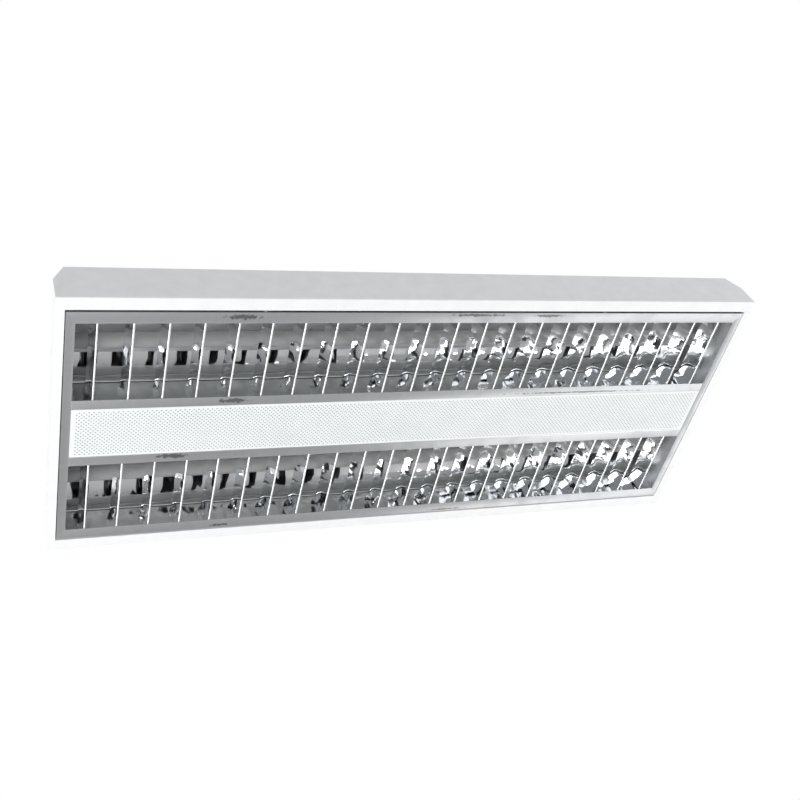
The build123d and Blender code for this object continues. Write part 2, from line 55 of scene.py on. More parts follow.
# Room. A plain pale floor lies well below the ceiling that the fixture hangs on.
floor_half = 6
floor_z = -2.6
floor_corners = [
    (-floor_half, -floor_half, floor_z),
    (floor_half, -floor_half, floor_z),
    (floor_half, floor_half, floor_z),
    (-floor_half, floor_half, floor_z),
]
floor_mesh = bpy.data.meshes.new("floor")
floor_mesh.from_pydata(floor_corners, [], [(0, 1, 2, 3)])
floor = bpy.data.objects.new("floor", floor_mesh)
scene.collection.objects.link(floor)
floor_paint = bpy.data.materials.new("floor_paint")
floor_paint.use_nodes = True
floor_shader = floor_paint.node_tree.nodes["Principled BSDF"]
floor_shader.inputs["Base Color"].default_value = (0.62, 0.62, 0.62, 1)
floor_shader.inputs["Roughness"].default_value = 0.9
floor_mesh.materials.append(floor_paint)

# Background. It is white to the camera and in the reflections that the camera sees, and a softer
# pale grey where it lights the object.


def add_node(tree, kind, x, y, **settings):
    made = tree.nodes.new(kind)
    made.location = (x, y)
    for key, value in settings.items():
        setattr(made, key, value)
    return made


studio = bpy.data.worlds.new("studio")
scene.world = studio
studio.use_nodes = True
sky = studio.node_tree
sky.nodes.clear()
light_path = add_node(sky, "ShaderNodeLightPath", -800, 200)
seen = add_node(sky, "ShaderNodeMath", -600, 300, operation="MAXIMUM")
seen_all = add_node(sky, "ShaderNodeMath", -400, 200, operation="MAXIMUM")
before_paint = add_node(sky, "ShaderNodeMath", -200, 100, operation="SUBTRACT", use_clamp=True)
soft_sky = add_node(sky, "ShaderNodeBackground", -200, -100)
soft_sky.inputs["Color"].default_value = (0.96, 0.98, 1.0, 1)
soft_sky.inputs["Strength"].default_value = 0.5
white_sky = add_node(sky, "ShaderNodeBackground", -200, -300)
white_sky.inputs["Color"].default_value = (1, 1, 1, 1)
sky_mix = add_node(sky, "ShaderNodeMixShader", 50, 0)
sky_out = add_node(sky, "ShaderNodeOutputWorld", 250, 0)
sky.links.new(light_path.outputs["Is Camera Ray"], seen.inputs[0])
sky.links.new(light_path.outputs["Is Glossy Ray"], seen.inputs[1])
sky.links.new(seen.outputs[0], seen_all.inputs[0])
sky.links.new(light_path.outputs["Is Transmission Ray"], seen_all.inputs[1])
sky.links.new(seen_all.outputs[0], before_paint.inputs[0])
sky.links.new(light_path.outputs["Diffuse Depth"], before_paint.inputs[1])
sky.links.new(before_paint.outputs[0], sky_mix.inputs[0])
sky.links.new(soft_sky.outputs[0], sky_mix.inputs[1])
sky.links.new(white_sky.outputs[0], sky_mix.inputs[2])
sky.links.new(sky_mix.outputs[0], sky_out.inputs[0])

# Lights. A soft box stands at the lower left and a wide one at the right. Two weaker ones on
# the far side show as white lines on the tips of the cross blades.


def soft_box(name, place, aim, width, height, watts):
    lamp = bpy.data.lights.new(name, "AREA")
    lamp.shape = "RECTANGLE"
    lamp.size = width
    lamp.size_y = height
    lamp.energy = watts
    box = bpy.data.objects.new(name, lamp)
    box.location = place
    box.rotation_euler = (Vector(aim) - Vector(place)).to_track_quat("-Z", "Y").to_euler()
    box.visible_camera = False
    scene.collection.objects.link(box)


soft_box("near_light", (-2.6, -0.6, -2.1), (0, 0, -0.08), 1.8, 1.8, 69)
soft_box("right_light", (2.6, -1.1, -1.8), (0.2, 0, -0.08), 3.0, 2.0, 60)
soft_box("far_light", (2.5, 1.9, -1.95), (0.2, 0, -0.08), 2.7, 1.7, 19)
soft_box("far_left_light", (-2.4, 1.8, -1.3), (0, 0, -0.08), 1.6, 1.0, 26)

# Housing. The body is a folded tray of thin steel sheet with a long lip round its opening, and
# the ends are pressed caps, all powder coated satin white after folding.


def new_group(name, inputs, outputs):
    tree = bpy.data.node_groups.new(name, "ShaderNodeTree")
    for socket_name, kind, value in inputs:
        socket = tree.interface.new_socket(socket_name, in_out="INPUT", socket_type=kind)
        socket.default_value = value
    for socket_name, kind in outputs:
        tree.interface.new_socket(socket_name, in_out="OUTPUT", socket_type=kind)
    return tree, add_node(tree, "NodeGroupInput", -900, 0), add_node(tree, "NodeGroupOutput", 700, 0)


# Coat: the grain of sprayed or moulded surfaces, with faint patches of another shade.
coat, coat_in, coat_out = new_group(
    "uneven_coat",
    [
        ("Colour", "NodeSocketColor", (0.8, 0.8, 0.8, 1)),
        ("Patch Colour", "NodeSocketColor", (0.7, 0.7, 0.7, 1)),
        ("Patches Per Metre", "NodeSocketFloat", 12.0),
        ("Grains Per Metre", "NodeSocketFloat", 500.0),
        ("Roughness", "NodeSocketFloat", 0.35),
        ("Roughness Change", "NodeSocketFloat", 0.1),
    ],
    [("Colour", "NodeSocketColor"), ("Roughness", "NodeSocketFloat"), ("Height", "NodeSocketFloat")],
)
coat_place = add_node(coat, "ShaderNodeTexCoord", -900, 300)
coat_patches = add_node(coat, "ShaderNodeTexNoise", -600, 300)
coat_patches.inputs["Detail"].default_value = 4.0
coat_patches.inputs["Roughness"].default_value = 0.6
coat_spread = add_node(coat, "ShaderNodeMapRange", -350, 300)
coat_spread.inputs["From Min"].default_value = 0.35
coat_spread.inputs["From Max"].default_value = 0.7
coat_mix = add_node(coat, "ShaderNodeMix", -100, 300, data_type="RGBA")
coat_grain = add_node(coat, "ShaderNodeTexNoise", -600, -100)
coat_grain.inputs["Detail"].default_value = 2.0
coat_rough = add_node(coat, "ShaderNodeMath", -100, 0, operation="MULTIPLY_ADD")
coat.links.new(coat_place.outputs["Object"], coat_patches.inputs["Vector"])
coat.links.new(coat_place.outputs["Object"], coat_grain.inputs["Vector"])
coat.links.new(coat_in.outputs["Patches Per Metre"], coat_patches.inputs["Scale"])
coat.links.new(coat_in.outputs["Grains Per Metre"], coat_grain.inputs["Scale"])
coat.links.new(coat_patches.outputs["Fac"], coat_spread.inputs["Value"])
coat.links.new(coat_spread.outputs["Result"], coat_mix.inputs["Factor"])
coat.links.new(coat_in.outputs["Colour"], coat_mix.inputs["A"])
coat.links.new(coat_in.outputs["Patch Colour"], coat_mix.inputs["B"])
coat.links.new(coat_spread.outputs["Result"], coat_rough.inputs[0])
coat.links.new(coat_in.outputs["Roughness Change"], coat_rough.inputs[1])
coat.links.new(coat_in.outputs["Roughness"], coat_rough.inputs[2])
coat.links.new(coat_mix.outputs["Result"], coat_out.inputs["Colour"])
coat.links.new(coat_rough.outputs[0], coat_out.inputs["Roughness"])
coat.links.new(coat_grain.outputs["Fac"], coat_out.inputs["Height"])


def coated(name, colour, patch_colour, patches, grains, grain_depth, roughness, change):
    made = bpy.data.materials.new(name)
    made.use_nodes = True
    tree = made.node_tree
    shader = tree.nodes["Principled BSDF"]
    layer = add_node(tree, "ShaderNodeGroup", -600, 200, node_tree=coat)
    layer.inputs["Colour"].default_value = (*colour, 1)
    layer.inputs["Patch Colour"].default_value = (*patch_colour, 1)
    layer.inputs["Patches Per Metre"].default_value = patches
    layer.inputs["Grains Per Metre"].default_value = grains
    layer.inputs["Roughness"].default_value = roughness
    layer.inputs["Roughness Change"].default_value = change
    bump = add_node(tree, "ShaderNodeBump", -300, -200)
    bump.inputs["Distance"].default_value = grain_depth
    tree.links.new(layer.outputs["Colour"], shader.inputs["Base Color"])
    tree.links.new(layer.outputs["Roughness"], shader.inputs["Roughness"])
    tree.links.new(layer.outputs["Height"], bump.inputs["Height"])
    tree.links.new(bump.outputs["Normal"], shader.inputs["Normal"])
    return made


def finish(made, *names):
    for name in names:
        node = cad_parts[name]
        node.data.materials.clear()
        node.data.materials.append(made)


powder_coat = coated(
    "white_powder_coat", (0.87, 0.875, 0.875), (0.82, 0.832, 0.832), 40, 420, 0.00006, 0.32, 0.12
)
finish(powder_coat, "housing_body", "end_cap_left", "end_cap_right")

# Grommet. A black rubber ring snapped into the roof's hole, where the mains cable comes in.
grommet_rubber = coated(
    "grommet_rubber", (0.03, 0.03, 0.032), (0.07, 0.07, 0.07), 180, 900, 0.00008, 0.6, 0.2
)
finish(grommet_rubber, "cable_grommet")

# Gear. A ballast in an enamelled tinplate case, its push-in terminals and the mains terminal
# block, moulded in white plastic, are screwed to the roof under the centre panel.
enamel = coated("ballast_enamel", (0.78, 0.79, 0.79), (0.70, 0.71, 0.71), 60, 700, 0.00004, 0.3, 0.15)
finish(enamel, "ballast")
white_plastic = coated(
    "moulded_plastic", (0.80, 0.80, 0.78), (0.76, 0.755, 0.72), 90, 1200, 0.00003, 0.34, 0.12
)
finish(white_plastic, "ballast_terminals", "terminal_block")

# Screws of the gear. Small pan head screws, zinc plated, with the crystals of the plating
# showing as a fine mottle.
plating, plating_in, plating_out = new_group(
    "zinc_mottle",
    [
        ("Colour", "NodeSocketColor", (0.6, 0.6, 0.6, 1)),
        ("Dull Colour", "NodeSocketColor", (0.4, 0.4, 0.4, 1)),
        ("Crystals Per Metre", "NodeSocketFloat", 300.0),
        ("Roughness", "NodeSocketFloat", 0.3),
    ],
    [("Colour", "NodeSocketColor"), ("Roughness", "NodeSocketFloat"), ("Height", "NodeSocketFloat")],
)
plating_place = add_node(plating, "ShaderNodeTexCoord", -900, 300)
crystals = add_node(plating, "ShaderNodeTexVoronoi", -600, 300)
crystal_shade = add_node(plating, "ShaderNodeSeparateColor", -400, 300)
plating_dull = add_node(plating, "ShaderNodeTexNoise", -600, 0)
plating_dull.inputs["Detail"].default_value = 3.0
plating_dull.inputs["Scale"].default_value = 60.0
plating_sum = add_node(plating, "ShaderNodeMath", -200, 200, operation="MULTIPLY")
plating_mix = add_node(plating, "ShaderNodeMix", 100, 300, data_type="RGBA")
plating_rough = add_node(plating, "ShaderNodeMath", 100, 0, operation="MULTIPLY_ADD")
plating_rough.inputs[1].default_value = 0.25
plating.links.new(plating_place.outputs["Object"], crystals.inputs["Vector"])
plating.links.new(plating_place.outputs["Object"], plating_dull.inputs["Vector"])
plating.links.new(plating_in.outputs["Crystals Per Metre"], crystals.inputs["Scale"])
plating.links.new(crystals.outputs["Color"], crystal_shade.inputs["Color"])
plating.links.new(crystal_shade.outputs["Red"], plating_sum.inputs[0])
plating.links.new(plating_dull.outputs["Fac"], plating_sum.inputs[1])
plating.links.new(plating_sum.outputs[0], plating_mix.inputs["Factor"])
plating.links.new(plating_in.outputs["Colour"], plating_mix.inputs["A"])
plating.links.new(plating_in.outputs["Dull Colour"], plating_mix.inputs["B"])
plating.links.new(plating_sum.outputs[0], plating_rough.inputs[0])
plating.links.new(plating_in.outputs["Roughness"], plating_rough.inputs[2])
plating.links.new(plating_mix.outputs["Result"], plating_out.inputs["Colour"])
plating.links.new(plating_rough.outputs[0], plating_out.inputs["Roughness"])
plating.links.new(crystal_shade.outputs["Green"], plating_out.inputs["Height"])


def plated(name, colour, dull_colour, crystals_per_metre, roughness):
    made = bpy.data.materials.new(name)
    made.use_nodes = True
    tree = made.node_tree
    shader = tree.nodes["Principled BSDF"]
    shader.inputs["Metallic"].default_value = 1.0
    layer = add_node(tree, "ShaderNodeGroup", -600, 200, node_tree=plating)
    layer.inputs["Colour"].default_value = (*colour, 1)
    layer.inputs["Dull Colour"].default_value = (*dull_colour, 1)
    layer.inputs["Crystals Per Metre"].default_value = crystals_per_metre
    layer.inputs["Roughness"].default_value = roughness
    bump = add_node(tree, "ShaderNodeBump", -300, -200)
    bump.inputs["Distance"].default_value = 0.00002
    tree.links.new(layer.outputs["Colour"], shader.inputs["Base Color"])
    tree.links.new(layer.outputs["Roughness"], shader.inputs["Roughness"])
    tree.links.new(layer.outputs["Height"], bump.inputs["Height"])
    tree.links.new(bump.outputs["Normal"], shader.inputs["Normal"])
    return made


screw_zinc = plated("screw_zinc", (0.66, 0.67, 0.68), (0.42, 0.43, 0.44), 900, 0.25)
finish(screw_zinc, "ballast_screws", "block_screws")

# Gear cover. A long folded channel of the same coated steel, screwed up over the gear by the
# flanges along its sides.
cover_coat = coated(
    "cover_powder_coat", (0.86, 0.865, 0.865), (0.81, 0.82, 0.82), 18, 420, 0.00005, 0.35, 0.1
)
finish(cover_coat, "gear_cover")
finish(screw_zinc, "cover_screws")

# Reflector trays. Each is one strip of bright anodised aluminium above a tube. Its middle lies
# flat against the roof and is enamelled, and its flanks curve down to a beaded edge. The
# enamel is coloured a darker grey as painted shade for the dim flat middle.
tray_middle = 0.141
tray_half_length = 0.5992
tray_sheet = 0.0006
tray_fold_half = 0.0395
tray_roof_z = -0.0014
tray_mouth_half = 0.0669
tray_mouth_z = -0.0440
tray_hem_z = -0.0460
bead_radius = 0.0009
bead_step_degrees = 25
bead_steps = 8
flank_start_angle = math.radians(26)
flank_steps = 20
sheet_crease_degrees = 35


def arc_points(start, direction, end, count):
    """Points on the arc that leaves start in a direction and ends at end."""
    start = Vector(start)
    chord = Vector(end) - start
    along = Vector(direction).normalized()
    across = Vector((-along.y, along.x))
    radius = chord.length_squared / (2 * chord.dot(across))
    middle = start + across * radius
    first = math.atan2(start.y - middle.y, start.x - middle.x)
    last = math.atan2(end[1] - middle.y, end[0] - middle.x)
    turn = (last - first + math.pi) % (2 * math.pi) - math.pi
    return [
        (
            middle.x + abs(radius) * math.cos(first + turn * i / count),
            middle.y + abs(radius) * math.sin(first + turn * i / count),
        )
        for i in range(count + 1)
    ]


def smooth_piece(name, mesh, crease_degrees):
    """An object of the mesh, shaded smooth but for the edges that are sharper than the crease."""
    for face in mesh.polygons:
        face.use_smooth = True
    mesh.set_sharp_from_angle(angle=math.radians(crease_degrees))
    made = bpy.data.objects.new(name, mesh)
    scene.collection.objects.link(made)
    return made


def rolled_strip(name, front, thickness, half_length, middle_y):
    """A closed strip of sheet along X, with its front line given as (y, z) points."""
    normals = []
    for i in range(len(front)):
        before = Vector(front[max(i - 1, 0)])
        after = Vector(front[min(i + 1, len(front) - 1)])
        along = (after - before).normalized()
        normals.append(Vector((-along.y, along.x)))
    back = [tuple(Vector(p) + n * thickness) for p, n in zip(front, normals)]
    count = len(front)
    vertices = []
    for x in (-half_length, half_length):
        vertices += [(x, middle_y + y, z) for y, z in front]
        vertices += [(x, middle_y + y, z) for y, z in back]
    right = 2 * count
    faces = []
    for i in range(count - 1):
        faces.append((i, i + 1, right + i + 1, right + i))
        faces.append((count + i, right + count + i, right + count + i + 1, count + i + 1))
        faces.append((i, count + i, count + i + 1, i + 1))
        faces.append((right + i, right + i + 1, right + count + i + 1, right + count + i))
    for i in (0, count - 1):
        faces.append((i, right + i, right + count + i, count + i))
    mesh = bpy.data.meshes.new(name)
    mesh.from_pydata(vertices, [], faces)
    shaped = bmesh.new()
    shaped.from_mesh(mesh)
    bmesh.ops.recalc_face_normals(shaped, faces=shaped.faces)
    shaped.to_mesh(mesh)
    shaped.free()
    return smooth_piece(name, mesh, sheet_crease_degrees)


# Sheet: the slow waves and fine lengthwise lines of rolled aluminium, with a film of dust that
# dulls it in clouds.
rolled, rolled_in, rolled_out = new_group(
    "rolled_sheet",
    [
        ("Colour", "NodeSocketColor", (0.85, 0.85, 0.85, 1)),
        ("Dusty Colour", "NodeSocketColor", (0.6, 0.6, 0.6, 1)),
        ("Clouds Per Metre", "NodeSocketFloat", 20.0),
        ("Wave Stretch", "NodeSocketVector", (1.0, 1.0, 1.0)),
        ("Waves Per Metre", "NodeSocketFloat", 15.0),
        ("Line Height", "NodeSocketFloat", 0.02),
        ("Roughness", "NodeSocketFloat", 0.1),
        ("Dust Roughness", "NodeSocketFloat", 0.1),
    ],
    [("Colour", "NodeSocketColor"), ("Roughness", "NodeSocketFloat"), ("Height", "NodeSocketFloat")],
)
rolled_place = add_node(rolled, "ShaderNodeTexCoord", -900, 300)
clouds = add_node(rolled, "ShaderNodeTexNoise", -600, 400)
clouds.inputs["Detail"].default_value = 5.0
cloud_spread = add_node(rolled, "ShaderNodeMapRange", -350, 400)
cloud_spread.inputs["From Min"].default_value = 0.45
cloud_spread.inputs["From Max"].default_value = 0.8
dust_mix = add_node(rolled, "ShaderNodeMix", 0, 400, data_type="RGBA")
waves = add_node(rolled, "ShaderNodeTexNoise", -600, 0)
waves.inputs["Detail"].default_value = 1.5
wave_place = add_node(rolled, "ShaderNodeVectorMath", -750, 0, operation="MULTIPLY")
line_place = add_node(rolled, "ShaderNodeMapping", -750, -300)
line_place.inputs["Scale"].default_value = (4, 1500, 1500)
lines = add_node(rolled, "ShaderNodeTexNoise", -550, -300)
lines.inputs["Scale"].default_value = 1.0
line_height = add_node(rolled, "ShaderNodeMath", -200, -100, operation="MULTIPLY_ADD")
dust_rough = add_node(rolled, "ShaderNodeMath", 0, 150, operation="MULTIPLY_ADD")
rolled.links.new(rolled_place.outputs["Object"], clouds.inputs["Vector"])
rolled.links.new(rolled_in.outputs["Clouds Per Metre"], clouds.inputs["Scale"])
rolled.links.new(clouds.outputs["Fac"], cloud_spread.inputs["Value"])
rolled.links.new(cloud_spread.outputs["Result"], dust_mix.inputs["Factor"])
rolled.links.new(rolled_in.outputs["Colour"], dust_mix.inputs["A"])
rolled.links.new(rolled_in.outputs["Dusty Colour"], dust_mix.inputs["B"])
rolled.links.new(dust_mix.outputs["Result"], rolled_out.inputs["Colour"])
rolled.links.new(rolled_place.outputs["Object"], wave_place.inputs[0])
rolled.links.new(rolled_in.outputs["Wave Stretch"], wave_place.inputs[1])
rolled.links.new(wave_place.outputs[0], waves.inputs["Vector"])
rolled.links.new(rolled_in.outputs["Waves Per Metre"], waves.inputs["Scale"])
rolled.links.new(rolled_place.outputs["Object"], line_place.inputs["Vector"])
rolled.links.new(line_place.outputs[0], lines.inputs["Vector"])
rolled.links.new(lines.outputs["Fac"], line_height.inputs[0])
rolled.links.new(rolled_in.outputs["Line Height"], line_height.inputs[1])
rolled.links.new(waves.outputs["Fac"], line_height.inputs[2])
rolled.links.new(line_height.outputs[0], rolled_out.inputs["Height"])
rolled.links.new(cloud_spread.outputs["Result"], dust_rough.inputs[0])
rolled.links.new(rolled_in.outputs["Dust Roughness"], dust_rough.inputs[1])
rolled.links.new(rolled_in.outputs["Roughness"], dust_rough.inputs[2])
rolled.links.new(dust_rough.outputs[0], rolled_out.inputs["Roughness"])


def rolled_metal(
    name, colour, dusty, clouds_per_metre, waves_per_metre, stretch, wave_depth, line, rough, dust
):
    made = bpy.data.materials.new(name)
    made.use_nodes = True
    tree = made.node_tree
    shader = tree.nodes["Principled BSDF"]
    shader.inputs["Metallic"].default_value = 1.0
    layer = add_node(tree, "ShaderNodeGroup", -600, 200, node_tree=rolled)
    layer.inputs["Colour"].default_value = (*colour, 1)
    layer.inputs["Dusty Colour"].default_value = (*dusty, 1)
    layer.inputs["Clouds Per Metre"].default_value = clouds_per_metre
    layer.inputs["Waves Per Metre"].default_value = waves_per_metre
    layer.inputs["Wave Stretch"].default_value = stretch
    layer.inputs["Line Height"].default_value = line
    layer.inputs["Roughness"].default_value = rough
    layer.inputs["Dust Roughness"].default_value = dust
    bump = add_node(tree, "ShaderNodeBump", -300, -200)
    bump.inputs["Distance"].default_value = wave_depth
    tree.links.new(layer.outputs["Colour"], shader.inputs["Base Color"])
    tree.links.new(layer.outputs["Roughness"], shader.inputs["Roughness"])
    tree.links.new(layer.outputs["Height"], bump.inputs["Height"])
    tree.links.new(bump.outputs["Normal"], shader.inputs["Normal"])
    return made


# Painted shade: the enamel's grey is darker than the white coat, to stand for the shade on the trays'
# flat middles.
tray_enamel_painted_shade = coated("tray_enamel_painted_shade", (0.74, 0.75, 0.75), (0.66, 0.67, 0.67), 30, 300, 0.00005, 0.4, 0.15)
bright_aluminium = rolled_metal(
    "bright_aluminium", (0.86, 0.87, 0.88), (0.80, 0.81, 0.82), 22, 32, (1.0, 0.35, 0.35), 0.0026,
    0.002, 0.05, 0.05,
)
flank = arc_points(
    (tray_fold_half, tray_roof_z),
    (math.cos(flank_start_angle), -math.sin(flank_start_angle)),
    (tray_mouth_half, tray_mouth_z),
    flank_steps,
)
bead_middle = (tray_mouth_half - bead_radius, tray_hem_z + bead_radius + tray_sheet)
bead = [
    (
        bead_middle[0] + bead_radius * math.cos(math.radians(-bead_step_degrees * k)),
        bead_middle[1] + bead_radius * math.sin(math.radians(-bead_step_degrees * k)),
    )
    for k in range(bead_steps + 1)
]
tray_front = [(-y, z) for y, z in reversed(flank + bead)] + flank + bead
for side, side_name in ((-1, "near"), (1, "far")):
    tray = rolled_strip(
        f"pressed_tray_{side_name}", tray_front, tray_sheet, tray_half_length, side * tray_middle
    )
    tray.data.materials.append(bright_aluminium)
    tray.data.materials.append(tray_enamel_painted_shade)
    for face in tray.data.polygons:
        # Only the flat middle has its faces' centres well inside the folds.
        if abs(face.center.y - side * tray_middle) < 0.5 * tray_fold_half:
            face.material_index = 1
    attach(tray, "housing")
    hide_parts(f"reflector_tray_{side_name}")
finish(screw_zinc, "tray_screws")

# Lampholders. Moulded white plastic blocks at both ends of each tube, with a round rotor in
# each that turns with the tube's pins and locks them.
finish(
    white_plastic, "lampholder_near_left", "lampholder_near_right", "lampholder_far_left",
    "lampholder_far_right", "holder_rotors_near", "holder_rotors_far",
)

# Tubes. Clear glass with a white phosphor coating inside, greyed near its ends by use. The
# coating itself is coloured a mid grey as painted shade, so the tubes look dim inside the
# troughs. The end grey grows from one distance from the middle of the tube to the other.
grey_start = 0.545
grey_full = 0.592
# Painted shade: the white coating is given a mid grey, darker than real phosphor, for the dim inside of
# the troughs.
tube_glass_painted_shade = coated("coated_tube_painted_shade", (0.60, 0.61, 0.60), (0.56, 0.57, 0.56), 8, 150, 0.00001, 0.35, 0.1)
glass_tree = tube_glass_painted_shade.node_tree
glass_shader = glass_tree.nodes["Principled BSDF"]
glass_shader.inputs["Coat Weight"].default_value = 1.0
glass_shader.inputs["Coat Roughness"].default_value = 0.03
glass_place = add_node(glass_tree, "ShaderNodeTexCoord", -1200, 500)
glass_axes = add_node(glass_tree, "ShaderNodeSeparateXYZ", -1000, 500)
glass_along = add_node(glass_tree, "ShaderNodeMath", -800, 500, operation="ABSOLUTE")
end_grey = add_node(glass_tree, "ShaderNodeMapRange", -600, 500, interpolation_type="SMOOTHSTEP")
end_grey.inputs["From Min"].default_value = grey_start
end_grey.inputs["From Max"].default_value = grey_full
end_grey.inputs["To Max"].default_value = 0.8
end_mix = add_node(glass_tree, "ShaderNodeMix", -300, 400, data_type="RGBA")
end_mix.inputs["B"].default_value = (0.20, 0.20, 0.19, 1)
glass_tree.links.new(glass_place.outputs["Object"], glass_axes.inputs[0])
glass_tree.links.new(glass_axes.outputs["X"], glass_along.inputs[0])
glass_tree.links.new(glass_along.outputs[0], end_grey.inputs["Value"])
glass_tree.links.new(end_grey.outputs["Result"], end_mix.inputs["Factor"])
glass_tree.links.new(glass_shader.inputs["Base Color"].links[0].from_socket, end_mix.inputs["A"])
glass_tree.links.new(end_mix.outputs["Result"], glass_shader.inputs["Base Color"])
finish(tube_glass_painted_shade, "tube_near", "tube_far")

# Tube caps and pins. Drawn aluminium caps cemented on the glass, and two brass pins in each.
cap_aluminium = plated("cap_aluminium", (0.76, 0.77, 0.78), (0.55, 0.56, 0.57), 500, 0.3)
finish(cap_aluminium, "tube_caps_near", "tube_caps_far")
pin_brass = plated("pin_brass", (0.76, 0.60, 0.30), (0.50, 0.38, 0.18), 700, 0.22)
finish(pin_brass, "tube_pins_near", "tube_pins_far")

# Optic frame. Four mitred rails round the outside and two between the troughs, folded from
# aluminium sheet with a smooth satin finish, and held at the corners by small angles.
rail_edge = 0.0002
rail_crease_degrees = 30
flat_degrees = 0.5
weld_distance = 0.000002
fold_radians = 0.9


def eased_copy(name, node_name, edge_width):
    """A copy of a CAD node with its long sharp edges rounded as folded or deburred ones are."""
    shaped = bmesh.new()
    shaped.from_mesh(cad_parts[node_name].data)
    bmesh.ops.remove_doubles(shaped, verts=shaped.verts, dist=weld_distance)
    bmesh.ops.dissolve_limit(
        shaped, angle_limit=math.radians(flat_degrees), verts=shaped.verts, edges=shaped.edges
    )
    inner_edges = [edge for edge in shaped.edges if len(edge.link_faces) == 2]
    sharp = [edge for edge in inner_edges if edge.calc_face_angle() > fold_radians]
    bmesh.ops.bevel(
        shaped, geom=sharp, offset=edge_width, segments=2, profile=0.5, affect="EDGES",
        clamp_overlap=True,
    )
    mesh = bpy.data.meshes.new(name)
    shaped.to_mesh(mesh)
    shaped.free()
    return smooth_piece(name, mesh, rail_crease_degrees)


rail_satin = rolled_metal(
    "rail_satin", (0.60, 0.61, 0.62), (0.50, 0.51, 0.52), 30, 9, (1.0, 1.0, 1.0), 0.0007,
    0.004, 0.36, 0.10,
)

# Dark patches on the rails, painted dark reflections: a soft patch about a place, longer than it
# is wide. A noise is added to the distance from its middle, so that it ends raggedly.
reflection_patch, reflection_patch_in, reflection_patch_out = new_group(
    "painted_reflection_patch",
    [
        ("Place", "NodeSocketVector", (0.0, 0.0, 0.0)),
        ("Length", "NodeSocketFloat", 0.03),
        ("Width", "NodeSocketFloat", 0.01),
    ],
    [("Mask", "NodeSocketFloat")],
)
mark_place = add_node(reflection_patch, "ShaderNodeTexCoord", -1200, 300)
mark_rag = add_node(reflection_patch, "ShaderNodeTexNoise", -1000, 0)
mark_rag.inputs["Scale"].default_value = 160.0
mark_rag.inputs["Detail"].default_value = 3.0
mark_offset = add_node(reflection_patch, "ShaderNodeVectorMath", -800, 300, operation="SUBTRACT")
mark_axes = add_node(reflection_patch, "ShaderNodeSeparateXYZ", -600, 300)
mark_x = add_node(reflection_patch, "ShaderNodeMath", -400, 400, operation="DIVIDE")
mark_y = add_node(reflection_patch, "ShaderNodeMath", -400, 200, operation="DIVIDE")
mark_size = add_node(reflection_patch, "ShaderNodeCombineXYZ", -200, 300)
mark_far = add_node(reflection_patch, "ShaderNodeVectorMath", 0, 300, operation="LENGTH")
mark_edge = add_node(reflection_patch, "ShaderNodeMath", 200, 200, operation="MULTIPLY_ADD")
mark_edge.inputs[1].default_value = 2.4
mark_fade = add_node(reflection_patch, "ShaderNodeMapRange", 400, 200, interpolation_type="SMOOTHSTEP")
mark_fade.inputs["From Min"].default_value = 2.2
mark_fade.inputs["From Max"].default_value = 1.7
reflection_patch.links.new(mark_place.outputs["Object"], mark_rag.inputs["Vector"])
reflection_patch.links.new(mark_place.outputs["Object"], mark_offset.inputs[0])
reflection_patch.links.new(reflection_patch_in.outputs["Place"], mark_offset.inputs[1])
reflection_patch.links.new(mark_offset.outputs[0], mark_axes.inputs[0])
reflection_patch.links.new(mark_axes.outputs["X"], mark_x.inputs[0])
reflection_patch.links.new(reflection_patch_in.outputs["Length"], mark_x.inputs[1])
reflection_patch.links.new(mark_axes.outputs["Y"], mark_y.inputs[0])
reflection_patch.links.new(reflection_patch_in.outputs["Width"], mark_y.inputs[1])
reflection_patch.links.new(mark_x.outputs[0], mark_size.inputs["X"])
reflection_patch.links.new(mark_y.outputs[0], mark_size.inputs["Y"])
reflection_patch.links.new(mark_size.outputs[0], mark_far.inputs[0])
reflection_patch.links.new(mark_rag.outputs["Fac"], mark_edge.inputs[0])
reflection_patch.links.new(mark_far.outputs["Value"], mark_edge.inputs[2])
reflection_patch.links.new(mark_edge.outputs[0], mark_fade.inputs["Value"])
reflection_patch.links.new(mark_fade.outputs["Result"], reflection_patch_out.inputs["Mask"])

rail_tree = rail_satin.node_tree
rail_shader = rail_tree.nodes["Principled BSDF"]
reflection_patch_sum = None
# Places, lengths and widths of the painted dark reflections on the rails.
for reflection_patch_spot, reflection_patch_length, reflection_patch_width in (
    ((-0.345, -0.226, -0.083), 0.028, 0.006),
    ((0.060, -0.230, -0.083), 0.055, 0.003),
    ((0.190, -0.229, -0.083), 0.040, 0.003),
    ((-0.340, -0.060, -0.083), 0.026, 0.006),
    ((0.330, -0.056, -0.083), 0.160, 0.002),
    ((-0.430, 0.056, -0.083), 0.030, 0.005),
    ((-0.330, 0.228, -0.083), 0.022, 0.003),
    ((0.120, 0.230, -0.083), 0.050, 0.002),
):
    one_reflection_patch = add_node(rail_tree, "ShaderNodeGroup", -1400, 0, node_tree=reflection_patch)
    one_reflection_patch.inputs["Place"].default_value = reflection_patch_spot
    one_reflection_patch.inputs["Length"].default_value = reflection_patch_length
    one_reflection_patch.inputs["Width"].default_value = reflection_patch_width
    if reflection_patch_sum is None:
        reflection_patch_sum = one_reflection_patch.outputs["Mask"]
    else:
        both = add_node(rail_tree, "ShaderNodeMath", -1200, 0, operation="MAXIMUM")
        rail_tree.links.new(reflection_patch_sum, both.inputs[0])
        rail_tree.links.new(one_reflection_patch.outputs["Mask"], both.inputs[1])
        reflection_patch_sum = both.outputs[0]
